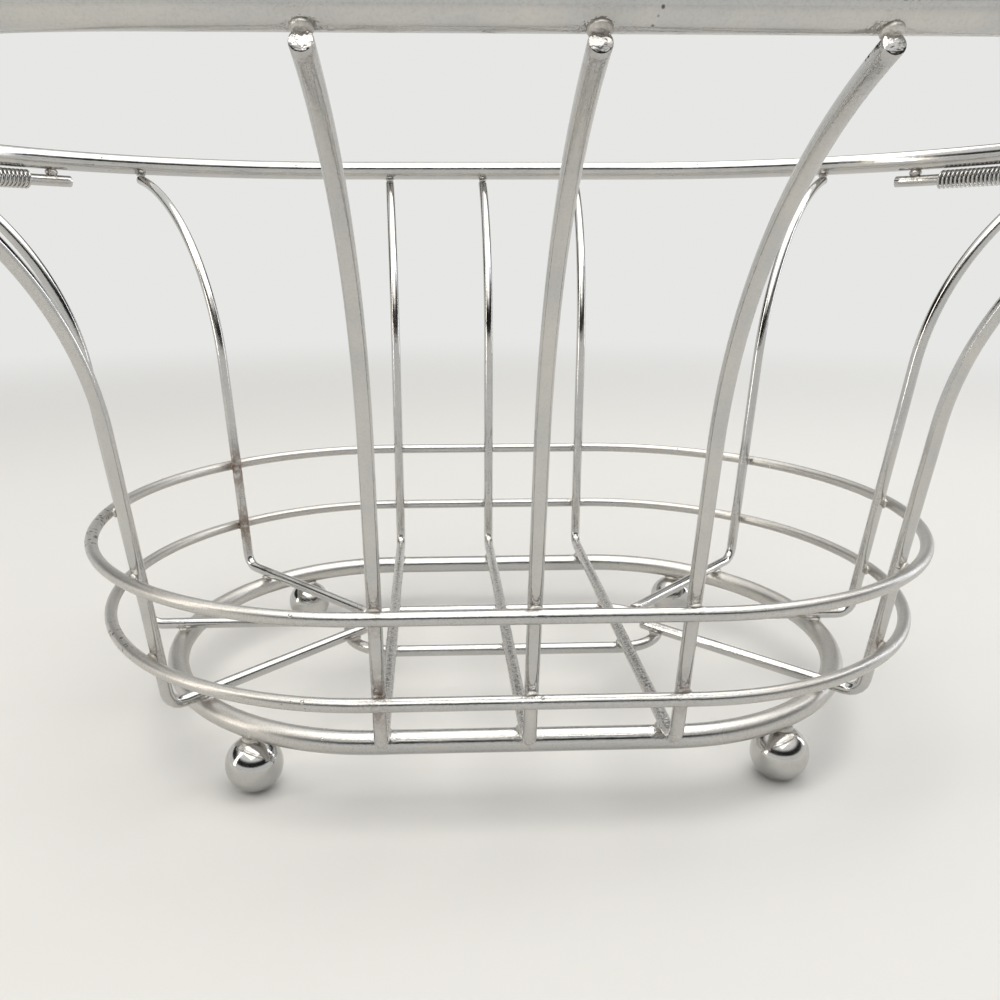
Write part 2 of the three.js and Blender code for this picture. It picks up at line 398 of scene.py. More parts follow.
    def rust_mask(self, tree: NodeTree, place: NodeSocket) -> NodeSocket:
        """Makes the mask of the brown stain: the heat of the welds, broken up by a fine noise.

        Args:
            tree: the node tree.
            place: object coordinates.

        Returns:
            The mask.
        """
        heat = add_node(tree, "ShaderNodeAttribute", attribute_name=STAIN).outputs["Fac"]
        spots = self.stains.mask(tree, place)
        both = add_node(tree, "ShaderNodeMath", {0: heat, 1: spots}, operation="MULTIPLY")
        return both.outputs["Value"]


@dataclass(frozen=True)
class Weld:
    """A resistance weld: the place where two pieces are fused, and how brown the plate is round it.

    Attributes:
        point: middle of the weld.
        normal: direction from one piece to the other.
        reach: radius of the bead across the normal.
        depth: half the bead's thickness along the normal.
        heat: how strongly the plate near it is stained, from 0 to 1.
    """

    point: Vector
    normal: Vector
    reach: float
    depth: float
    heat: float


def cap(mesh: BMesh, burr: float) -> None:
    """Closes a shape's open ends with flat faces, and breaks their edges.

    Args:
        mesh: the shape.
        burr: width of the broken edge.
    """
    open_edges = [edge for edge in mesh.edges if edge.is_boundary]
    capped = bmesh.ops.holes_fill(mesh, edges=open_edges, sides=0)
    rims = list({edge for face in capped["faces"] for edge in face.edges})
    bmesh.ops.bevel(mesh, geom=rims, offset=burr, affect="EDGES", segments=2, profile=0.5, material=-1)
    bmesh.ops.recalc_face_normals(mesh, faces=mesh.faces)


@dataclass
class WireBender:
    """One round wire, bent in a bmesh.

    Attributes:
        diameter: the wire's diameter.
        point: where the wire's end is now.
        heading: which way the wire's end points now.
        sides: number of sides of the round section.
        step: length of wire between two sections.
        least_steps: the fewest steps in a bend.
        mesh: the shape so far.
        section: the section at the wire's end.
        first: the section that the wire was started from.
    """

    diameter: float
    point: Vector
    heading: Vector
    sides: int = 24
    step: float = 2.4 * MM
    least_steps: int = 5
    mesh: BMesh = field(init=False)
    section: list = field(init=False)
    first: list = field(init=False)

    def __post_init__(self) -> None:
        """Starts the wire as a circle across its heading."""
        self.mesh = bmesh.new()
        self.point = self.point.copy()
        self.heading = self.heading.normalized()
        turned = self.heading.to_track_quat("Z", "Y").to_matrix().to_4x4()
        ring = bmesh.ops.create_circle(self.mesh, segments=self.sides, radius=self.diameter / 2,
                                       matrix=Matrix.Translation(self.point) @ turned)
        edges = {edge for vert in ring["verts"] for edge in vert.link_edges}
        self.section = [*ring["verts"], *sorted(edges, key=lambda edge: edge.index)]
        self.first = list(self.section)

    def start_again(self, point: Vector, heading: Vector) -> None:
        """Goes back to the wire's first section, to bend its other half.

        Args:
            point: middle of the first section.
            heading: which way the other half leaves it.
        """
        self.section = list(self.first)
        self.point = point.copy()
        self.heading = heading.normalized()

    def push(self, length: float) -> None:
        """Feeds the wire straight on.

        Args:
            length: how far.
        """
        steps = max(1, round(length / self.step))
        spun = bmesh.ops.spin(self.mesh, geom=self.section, cent=self.point, axis=UP, angle=0.0,
                              dvec=self.heading * (length / steps), steps=steps)
        self.section = spun["geom_last"]
        self.point = self.point + self.heading * length

    def turn(self, centre: Vector, axis: Vector, angle: float) -> None:
        """Bends the wire round an axis.

        Args:
            centre: a point on the axis.
            axis: the axis, a unit vector.
            angle: how far the wire turns, in radians.
        """
        arm = self.point - centre
        steps = max(self.least_steps, math.ceil(abs(angle) * arm.length / self.step))
        spun = bmesh.ops.spin(self.mesh, geom=self.section, cent=centre, axis=axis, angle=angle, steps=steps)
        self.section = spun["geom_last"]
        rotation = Matrix.Rotation(angle, 3, axis)
        self.point = centre + rotation @ arm
        self.heading = rotation @ self.heading

    def wind(self, axis: Vector, pitch: float, turns: int, steps: int = 20) -> None:
        """Winds the wire into a helix about an axis through the origin, as one turn that is then repeated.

        Args:
            axis: the axis, a unit vector.
            pitch: how far one turn moves along the axis.
            turns: number of turns.
            steps: number of sections in a turn.
        """
        bmesh.ops.spin(self.mesh, geom=self.section, cent=(0, 0, 0), axis=axis, angle=2 * math.pi,
                       dvec=axis * (pitch / steps), steps=steps)
        turn = [*self.mesh.verts, *self.mesh.edges, *self.mesh.faces]
        bmesh.ops.spin(self.mesh, geom=turn, cent=(0, 0, 0), axis=axis, angle=0.0, dvec=axis * pitch,
                       steps=turns - 1, use_duplicate=True)
        bmesh.ops.remove_doubles(self.mesh, verts=self.mesh.verts, dist=COIL_SEAM)

    def close(self) -> BMesh:
        """Joins the wire's end to its start.

        Returns:
            The mesh of a closed ring.
        """
        bmesh.ops.remove_doubles(self.mesh, verts=self.mesh.verts, dist=RING_SEAM)
        bmesh.ops.recalc_face_normals(self.mesh, faces=self.mesh.faces)
        return self.mesh

    def cut(self, burr: float = 0.3 * MM) -> BMesh:
        """Caps both ends square, with the cut's edge broken.

        Args:
            burr: width of the broken edge.

        Returns:
            The mesh of an open wire.
        """
        cap(self.mesh, burr)
        return self.mesh


def placed(mesh: BMesh, name: str, coat: Material) -> Object:
    """Puts a shape into the scene as a smooth object.

    Args:
        mesh: the shape, in place. It is freed.
        name: the object's name.
        coat: its material.

    Returns:
        The object.
    """
    data = bpy.data.meshes.new(name)
    mesh.to_mesh(data)
    mesh.free()
    data.polygons.foreach_set("use_smooth", [True] * len(data.polygons))
    data.materials.append(coat)
    made = bpy.data.objects.new(name, data)
    bpy.context.scene.collection.objects.link(made)
    return made


def finished(mesh: BMesh, name: str, coat: Material, stands_for: Iterable[str] = (),
             welds: Iterable[Weld] = (), pitted: Iterable[Vector] = ()) -> Object:
    """Turns a mesh into a piece of the basket.

    Args:
        mesh: the shape, in place. It is freed.
        name: the piece's name.
        coat: the piece's material.
        stands_for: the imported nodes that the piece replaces.
        welds: the welds that stain it.
        pitted: the places round which rust has pitted it.

    Returns:
        The piece, riding on its body.
    """
    piece = placed(mesh, name, coat)
    data = piece.data
    data.set_sharp_from_angle(angle=SHARP_ANGLE)
    joins = list(welds)
    mark(data, STAIN, [(weld.point, weld.heat) for weld in joins], STAIN_SPREAD)
    mark(data, SPATTER, [(weld.point, SPATTER_STRENGTH) for weld in joins], SPATTER_SPREAD)
    mark(data, PITTING, [(place, 1.0) for place in pitted], PITTING_SPREAD)
    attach(piece, BODY)
    nodes = list(stands_for)
    if nodes:
        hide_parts(*nodes)
    log.info("%s: %d faces", name, len(data.polygons))
    return piece


def mark(data: Mesh, name: str, places: list[tuple[Vector, float]], spread: float) -> None:
    """Writes on each vertex how strongly the nearest place marks the plate there.

    Args:
        data: the mesh.
        name: the mark's name.
        places: the places that leave a mark, and how strong it is.
        spread: how far from a place a strong mark has faded to about a half. A weak one spreads less.
    """
    if not places:
        return
    layer = data.attributes.new(name, "FLOAT", "POINT")
    near = KDTree(len(places))
    for index, (point, _) in enumerate(places):
        near.insert(point, index)
    near.balance()
    values = []
    for vertex in data.vertices:
        _, index, distance = near.find(vertex.co)
        strength = places[index][1]
        reach = spread * (FAINT_SPREAD + ADDED_SPREAD * strength)
        values.append(strength * math.exp(-(distance / reach) ** 2))
    layer.data.foreach_set("value", values)


@dataclass(frozen=True)
class Oval:
    """An oval ring of wire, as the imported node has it: two straights joined by half circles.

    Attributes:
        straight: length of a straight.
        radius: radius of the half circles, to the middle of the wire.
        height: height of the middle of the wire.
        wire: the wire's diameter.
    """

    straight: float
    radius: float
    height: float
    wire: float

    @classmethod
    def of(cls, node: str) -> "Oval":
        """Reads an oval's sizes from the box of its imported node.

        Args:
            node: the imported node.

        Returns:
            The oval.
        """
        low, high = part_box(node)
        size = high - low
        return cls(size.x - size.y, (size.y - size.z) / 2, (low.z + high.z) / 2, size.z)

    def at(self, angle: float, end: End, side: Side = Side.BACK) -> Vector:
        """A point on an end's half circle.

        Args:
            angle: from the oval's long axis.
            end: which end.
            side: which side.

        Returns:
            The point, in the middle of the wire.
        """
        x = end.value * (self.straight / 2 + self.radius * math.cos(angle))
        return Vector((x, side.value * self.radius * math.sin(angle), self.height))

    def along(self, share: float) -> tuple[Vector, Vector]:
        """A place on the ring, counted round it.

        Args:
            share: how far round, from 0 to 1.

        Returns:
            The point in the middle of the wire, and the level direction out of the ring there.
        """
        arc = math.pi * self.radius
        far = share * 2 * (arc + self.straight)
        end = End.RIGHT if far < arc + self.straight else End.LEFT
        far = far % (arc + self.straight)
        if far < arc:
            angle = far / self.radius - math.pi / 2
            outward = Vector((end.value * math.cos(angle), end.value * math.sin(angle), 0))
            return Vector((end.value * self.straight / 2, 0, self.height)) + outward * self.radius, outward
        outward = Vector((0, end.value, 0))
        x = end.value * (self.straight / 2 - (far - arc))
        return Vector((x, end.value * self.radius, self.height)), outward

    def beside(self, x: float, side: Side) -> tuple[Vector, Vector]:
        """A place on the ring, found by how far along X it is.

        Args:
            x: how far along X.
            side: which long side.

        Returns:
            The point in the middle of the wire, and the level direction out of the ring there.
        """
        past = math.copysign(max(abs(x) - self.straight / 2, 0.0), x)
        outward = Vector((past, side.value * math.sqrt(self.radius ** 2 - past ** 2), 0)) / self.radius
        return Vector((x - past, 0, self.height)) + outward * self.radius, outward

    def bent(self, sides: int) -> BMesh:
        """Bends the closed ring.

        Args:
            sides: number of sides of the wire's section.

        Returns:
            Its mesh.
        """
        half = self.straight / 2
        bender = WireBender(self.wire, Vector((half, -self.radius, self.height)), Vector((1, 0, 0)), sides)
        bender.turn(Vector((half, 0, self.height)), UP, math.pi)
        bender.push(self.straight)
        bender.turn(Vector((-half, 0, self.height)), UP, math.pi)
        bender.push(self.straight)
        return bender.close()


class RibKind(Enum):
    """How a rib is bent and where it is welded to the rim."""

    SIDE = "side"
    CORNER = "corner"
    END = "end"


@dataclass(frozen=True)
class Rib:
    """One upright of the cage.

    Attributes:
        name: the rib's own name, which tells its welds apart.
        kind: how it is bent.
        corner: where its floor run and its upright would meet.
        inward: direction of its floor run, towards the middle.
        rim_point: middle of the rim where it goes.
    """

    name: str
    kind: RibKind
    corner: Vector
    inward: Vector
    rim_point: Vector

    def outward(self) -> Vector:
        """The level direction in which the rib leans and flares."""
        return Vector((self.rim_point.x - self.corner.x, self.rim_point.y - self.corner.y, 0)).normalized()

    def leaning(self, lean: float) -> Vector:
        """The direction of the rib's straight part."""
        return self.outward() * math.sin(lean) + UP * math.cos(lean)


@dataclass
class Cage:
    """The ovals and the ribs: everything that is welded up from wire, apart from the grips.

    Attributes:
        foot_radius: where the ribs turn up, from the middle of the hoops' end arcs.
        bend: radius of that bend.
        lean: how far the ribs lean out.
        overhang: how far a rib runs on past the rim's underside.
        flares: how far each kind of rib has turned from upright at the rim.
        cross_spacing: distance between cross wires on the floor.
        cross_spacing_at_rim: distance between cross wires at the rim.
        corner_foot_angle: where a corner rib turns up, from the oval's long axis.
        corner_rim_angle: where a corner rib meets the rim.
        run_end: where the floor runs of the ends and corners stop, from the middle of the end arc.
        weld_gap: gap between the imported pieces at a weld, which the bead fills.
        beads: radius and half thickness of a weld's bead, by oval.
        stained: the welds that are brown, by rib and oval, and how strongly.
        faint_stain: the most that any other weld is stained.
        oval_share: how much of a rib's stain spreads to the oval that it is welded to.
        pitted: the pitted places, by oval, as angles on the left end's half circle towards the front.
        rod_from: diameter from which a wire counts as rod.
        rod_sides: number of sides of a rod's section.
        wire_sides: number of sides of a thin oval's section.
        chance: draws the faint stains.
    """

    foot_radius: float = 79.3 * MM
    bend: float = 5 * MM
    lean: float = math.radians(5.9)
    overhang: float = 0.4 * MM
    flares: dict[RibKind, float] = field(default_factory=lambda: {
        RibKind.SIDE: math.radians(66),
        RibKind.CORNER: math.radians(78),
        RibKind.END: math.radians(84),
    })
    cross_spacing: float = 37.2 * MM
    cross_spacing_at_rim: float = 40.2 * MM
    corner_foot_angle: float = math.radians(44.5)
    corner_rim_angle: float = math.radians(54.5)
    run_end: float = 8.5 * MM
    weld_gap: float = 0.3 * MM
    beads: dict[str, tuple[float, float]] = field(default_factory=lambda: {
        "rim": (1.7 * MM, 0.9 * MM),
        "upper_hoop": (1.85 * MM, 0.85 * MM),
        "lower_hoop": (1.85 * MM, 0.85 * MM),
        "base_ring": (2.1 * MM, 1.0 * MM),
        "inner_ring": (1.75 * MM, 1.0 * MM),
    })
    stained: dict[tuple[str, str], float] = field(default_factory=lambda: {
        ("corner_back_left", "upper_hoop"): 1.0,
        ("corner_back_left", "lower_hoop"): 0.95,
        ("cross_front_left", "lower_hoop"): 0.75,
        ("cross_front_left", "upper_hoop"): 0.4,
        ("cross_front_right", "lower_hoop"): 0.45,
        ("corner_front_left", "lower_hoop"): 0.35,
    })
    faint_stain: float = 0.32
    oval_share: float = 0.45
    pitted: dict[str, tuple[float, ...]] = field(default_factory=lambda: {
        "upper_hoop": (math.radians(6), math.radians(20)),
        "lower_hoop": (math.radians(34),),
    })
    rod_from: float = 5 * MM
    rod_sides: int = 36
    wire_sides: int = 24
    chance: random.Random = field(default_factory=lambda: random.Random(7))

    def __post_init__(self) -> None:
        """Reads the ovals from the frame, and finds the ribs and the welds."""
        names = ("rim", "upper_hoop", "lower_hoop", "base_ring", "inner_ring")
        self.ovals = {name: Oval.of(name) for name in names}
        self.rim = self.ovals["rim"]
        self.wire = self.ovals["inner_ring"].wire
        self.floor = self.ovals["inner_ring"].height + self.wire + self.weld_gap
        self.end_centre = self.ovals["upper_hoop"].straight / 2
        self.ribs = [*self.cross_ribs(), *self.corner_ribs(), *self.end_ribs()]
        self.hoop_welds = self.find_hoop_welds()
        self.floor_welds = self.find_floor_welds()
        self.rim_welds = self.find_rim_welds()

    def welds(self) -> list[Weld]:
        """Every weld of the cage."""
        return [*self.hoop_welds, *self.floor_welds, *self.rim_welds]

    def cross_ribs(self) -> list[Rib]:
        """The uprights of the cross wires, front and back."""
        found = []
        for place, word in ((-1, "left"), (0, "middle"), (1, "right")):
            for side in Side:
                corner = Vector((place * self.cross_spacing, side.value * self.foot_radius, self.floor))
                rim_y = side.value * self.rim.radius
                rim_point = Vector((place * self.cross_spacing_at_rim, rim_y, self.rim.height))
                name = f"cross_{side.name.lower()}_{word}"
                found.append(Rib(name, RibKind.SIDE, corner, Vector((0, -side.value, 0)), rim_point))
        return found

    def corner_ribs(self) -> list[Rib]:
        """The corner ribs."""
        found = []
        for end in End:
            for side in Side:
                outward = Vector((end.value * math.cos(self.corner_foot_angle),
                                  side.value * math.sin(self.corner_foot_angle), 0))
                corner = Vector((end.value * self.end_centre, 0, self.floor)) + outward * self.foot_radius
                rim_point = self.rim.at(self.corner_rim_angle, end, side)
                name = f"corner_{side.name.lower()}_{end.name.lower()}"
                found.append(Rib(name, RibKind.CORNER, corner, -outward, rim_point))
        return found

    def end_ribs(self) -> list[Rib]:
        """The end ribs."""
        found = []
        for end in End:
            corner = Vector((end.value * (self.end_centre + self.foot_radius), 0, self.floor))
            inward = Vector((-end.value, 0, 0))
            found.append(Rib(f"end_{end.name.lower()}", RibKind.END, corner, inward, self.rim.at(0.0, end)))
        return found

    def weld(self, rib: Rib, oval: str, point: Vector, normal: Vector) -> Weld:
        """Notes a weld, as brown as is known of it, or faintly brown by chance.

        Args:
            rib: the rib that is welded.
            oval: what it is welded to.
            point: middle of the weld.
            normal: direction from one to the other.

        Returns:
            The weld.
        """
        chance = self.chance.random() * self.faint_stain
        return Weld(point, normal, *self.beads[oval], self.stained.get((rib.name, oval), chance))

    def find_hoop_welds(self) -> list[Weld]:
        """The welds between the ribs and the hoops, on the outside of each rib.

        Returns:
            The welds.
        """
        found = []
        for name in ("upper_hoop", "lower_hoop"):
            rise = (self.ovals[name].height - self.floor) / math.cos(self.lean)
            for rib in self.ribs:
                middle = rib.corner + rib.leaning(self.lean) * rise
                point = middle + rib.outward() * ((self.wire + self.weld_gap) / 2)
                found.append(self.weld(rib, name, point, rib.outward()))
        return found

    def find_floor_welds(self) -> list[Weld]:
        """The welds between the floor runs and the two rings under them.

        Returns:
            The welds.
        """
        found = []
        for name in ("base_ring", "inner_ring"):
            ring = self.ovals[name]
            height = ring.height + (ring.wire + self.weld_gap) / 2
            for rib in self.ribs:
                point = self.crossing(rib, ring)
                found.append(self.weld(rib, name, Vector((point.x, point.y, height)), UP))
        return found

    def crossing(self, rib: Rib, ring: Oval) -> Vector:
        """Where a rib's floor run passes over a ring.

        Args:
            rib: the rib.
            ring: the ring.

        Returns:
            The point, of which only X and Y count.
        """
        half = ring.straight / 2
        if abs(rib.corner.x) <= half:
            return Vector((rib.corner.x, math.copysign(ring.radius, rib.corner.y), 0))
        arm = Vector((rib.corner.x - math.copysign(half, rib.corner.x), rib.corner.y, 0))
        along = arm.dot(rib.inward)
        back = -along - math.sqrt(along ** 2 - arm.length_squared + ring.radius ** 2)
        return rib.corner + rib.inward * back

    def find_rim_welds(self) -> list[Weld]:
        """The welds between the ribs' tops and the rim.

        Returns:
            The welds.
        """
        found = []
        reach = (self.rim.wire + self.weld_gap) / 2
        for rib in self.ribs:
            angle = self.flares[rib.kind]
            if rib.kind is RibKind.END:
                normal = -(rib.outward() * math.sin(angle) + UP * math.cos(angle))
            else:
                normal = rib.outward() * math.cos(angle) - UP * math.sin(angle)
            found.append(self.weld(rib, "rim", rib.rim_point + normal * reach, normal))
        return found

    def raise_rib(self, bender: WireBender, rib: Rib) -> None:
        """Bends a wire that lies along the floor up into its rib and out to the rim.

        Side and corner ribs pass under the rim. End ribs stop square against its inside.

        Args:
            bender: the wire, on the floor and pointing away from the middle.
            rib: the rib to bend.
        """
        angle = self.flares[rib.kind]
        butts = rib.kind is RibKind.END
        under = self.rim.wire / 2 + self.weld_gap + self.wire / 2
        offset = 0.0 if butts else under
        run_on = -(self.rim.wire / 2 + self.weld_gap) if butts else self.overhang

        level = Vector((rib.rim_point.x - rib.corner.x, rib.rim_point.y - rib.corner.y, 0))
        across = level.length + offset * math.cos(angle)
        rise = rib.rim_point.z - rib.corner.z - offset * math.sin(angle)
        cosines = math.cos(self.lean) - math.cos(angle)
        sines = math.sin(angle) - math.sin(self.lean)
        share = math.sin(self.lean) * sines - math.cos(self.lean) * cosines
        radius = (rise * math.sin(self.lean) - across * math.cos(self.lean)) / share
        straight = (across * sines - rise * cosines) / share

        leaning = rib.leaning(self.lean)
        half = rib.inward.angle(leaning) / 2
        tangent = self.bend / math.tan(half)
        bender.push((rib.corner + rib.inward * tangent - bender.point).length)
        middle = (rib.inward + leaning).normalized()
        bender.turn(rib.corner + middle * (self.bend / math.sin(half)),
                    bender.heading.cross(leaning).normalized(), math.pi - 2 * half)
        bender.push(straight - tangent)
        level.normalize()
        centre = bender.point + level * (radius * math.cos(self.lean)) - UP * (radius * math.sin(self.lean))
        bender.turn(centre, UP.cross(level).normalized(), angle - self.lean + run_on / radius)

    def cross_wire(self, front: Rib, back: Rib) -> BMesh:
        """Bends a cross wire from the middle of the floor, first one way and then the other.

        Args:
            front: its front rib.
            back: its back rib.

        Returns:
            Its mesh.
        """
        start = Vector((front.corner.x, 0, self.floor))
        bender = WireBender(self.wire, start, -front.inward)
        self.raise_rib(bender, front)
        bender.start_again(start, -back.inward)
        self.raise_rib(bender, back)
        return bender.cut()

    def single_rib(self, rib: Rib) -> BMesh:
        """Bends a corner or end rib, from the end of its floor run to the rim.

        Args:
            rib: the rib.

        Returns:
            Its mesh.
        """
        start = rib.corner + rib.inward * (self.foot_radius - self.run_end)
        bender = WireBender(self.wire, start, -rib.inward)
        self.raise_rib(bender, rib)
        return bender.cut()

    def build(self, rod: Material, hoop: Material, drawn: Material, scuffed: Material) -> None:
        """Makes every wire of the cage.

        Args:
            rod: the finish of the rim.
            hoop: the finish of the other ovals.
            drawn: the finish of the corner and end ribs.
            scuffed: the finish of the cross wires.
        """
        welds = self.welds()
        cooler = [replace(weld, heat=weld.heat * self.oval_share) for weld in welds]
        for name, oval in self.ovals.items():
            sides = self.rod_sides if oval.wire > self.rod_from else self.wire_sides
            coat = rod if name == "rim" else hoop
            pitted = [oval.at(angle, End.LEFT, Side.FRONT) for angle in self.pitted.get(name, ())]
            finished(oval.bent(sides), f"bent_{name}", coat, [name], cooler, pitted)
        named = {rib.name: rib for rib in self.ribs}
        for word in ("left", "middle", "right"):
            shape = self.cross_wire(named[f"cross_front_{word}"], named[f"cross_back_{word}"])
            finished(shape, f"bent_cross_wire_{word}", scuffed, [f"cross_wire_{word}"], welds)
        for rib in self.ribs:
            if rib.kind is RibKind.SIDE:
                continue
            node = rib.name.replace("corner_", "corner_rib_").replace("end_", "end_rib_")
            finished(self.single_rib(rib), f"bent_{node}", drawn, [node], welds)


@dataclass
class Beads:
    """The beads of the welds: small flattened lumps of fused plate that fill the corner between two wires.

    Attributes:
        swell: the least and the most that a bead's width is of its usual one.
        chance: draws each bead's small difference in size.
    """

    swell: tuple[float, float] = (0.92, 1.1)
    chance: random.Random = field(default_factory=lambda: random.Random(11))

    def build(self, name: str, slot: str, coat: Material, welds: list[Weld]) -> None:
        """Makes one piece of several beads.

        Args:
            name: the piece's name.
            slot: not used.
            coat: the piece's material.
            welds: where the beads are.
        """
        mesh = bmesh.new()
        for weld in welds:
            wide = weld.reach * self.chance.uniform(*self.swell)
            size = Matrix.Diagonal((wide, wide, weld.depth, 1.0))
            turned = weld.normal.to_track_quat("Z", "Y").to_matrix().to_4x4()
            bmesh.ops.create_icosphere(mesh, subdivisions=LUMP_DIVISIONS, radius=1.0,
                                       matrix=Matrix.Translation(weld.point) @ turned @ size)
        finished(mesh, name, coat, welds=welds)


@dataclass
class Nibs:
    """Nibs in the plate: drops of metal that grow on a wire in the plating bath.

    Attributes:
        noted: nibs that can be seen, as the oval, how far along X and the side.
        noted_turns: where on the wire's section these are, by side.
        rows: for each oval, how many more it has.
        rim_turns: the part of the rim's section that nibs may be on, so that they stay inside its outline.
        least: radius of the smallest.
        most: radius of the largest.
        sunk: how deep a nib sits in its wire, as a share of its radius.
        chance: draws their places and sizes.
    """

    noted: tuple[tuple[str, float, Side], ...] = (
        ("upper_hoop", -56 * MM, Side.FRONT), ("lower_hoop", -55 * MM, Side.FRONT),
        ("base_ring", -53 * MM, Side.FRONT), ("rim", -166 * MM, Side.BACK), ("rim", -151 * MM, Side.BACK),
        ("rim", -106 * MM, Side.BACK), ("rim", -80 * MM, Side.BACK), ("rim", 53 * MM, Side.BACK),
        ("rim", 73 * MM, Side.BACK))
    noted_turns: dict[Side, float] = field(default_factory=lambda: {
        Side.FRONT: math.radians(40), Side.BACK: math.radians(150)})
    rows: dict[str, int] = field(default_factory=lambda: {
        "rim": 9, "upper_hoop": 6, "lower_hoop": 6, "base_ring": 5})
    rim_turns: tuple[float, float] = (math.radians(130), math.radians(290))
    least: float = 0.3 * MM
    most: float = 0.6 * MM
    sunk: float = 0.45
    chance: random.Random = field(default_factory=lambda: random.Random(23))

    def build(self, cage: Cage, coat: Material) -> None:
        """Makes all the nibs as one piece.

        Args:
            cage: the wires that they grow on.
            coat: the piece's material.
        """
        mesh = bmesh.new()
        for name, x, side in self.noted:
            middle, outward = cage.ovals[name].beside(x, side)
            self.grow(mesh, cage.ovals[name], middle, outward, self.noted_turns[side])
        for name, count in self.rows.items():
            for _ in range(count):
                middle, outward = cage.ovals[name].along(self.chance.random())
                turns = self.rim_turns if name == "rim" else (0.0, 2 * math.pi)
                self.grow(mesh, cage.ovals[name], middle, outward, self.chance.uniform(*turns))
        finished(mesh, "plating_nibs", coat)

    def grow(self, mesh: BMesh, oval: Oval, middle: Vector, outward: Vector, turn: float) -> None:
        """Grows one nib.

        Args:
            mesh: the mesh that it goes into.
            oval: the wire that it grows on.
            middle: the middle of the wire there.
            outward: the level direction out of the ring there.
            turn: where it is on the wire's section, from outward and upwards.
        """
        normal = outward * math.cos(turn) + UP * math.sin(turn)
        radius = self.chance.uniform(self.least, self.most)
        place = Matrix.Translation(middle + normal * (oval.wire / 2 - radius * self.sunk))
        turned = normal.to_track_quat("Z", "Y").to_matrix().to_4x4()
        bmesh.ops.create_icosphere(mesh, subdivisions=LUMP_DIVISIONS, radius=radius, matrix=place @ turned)


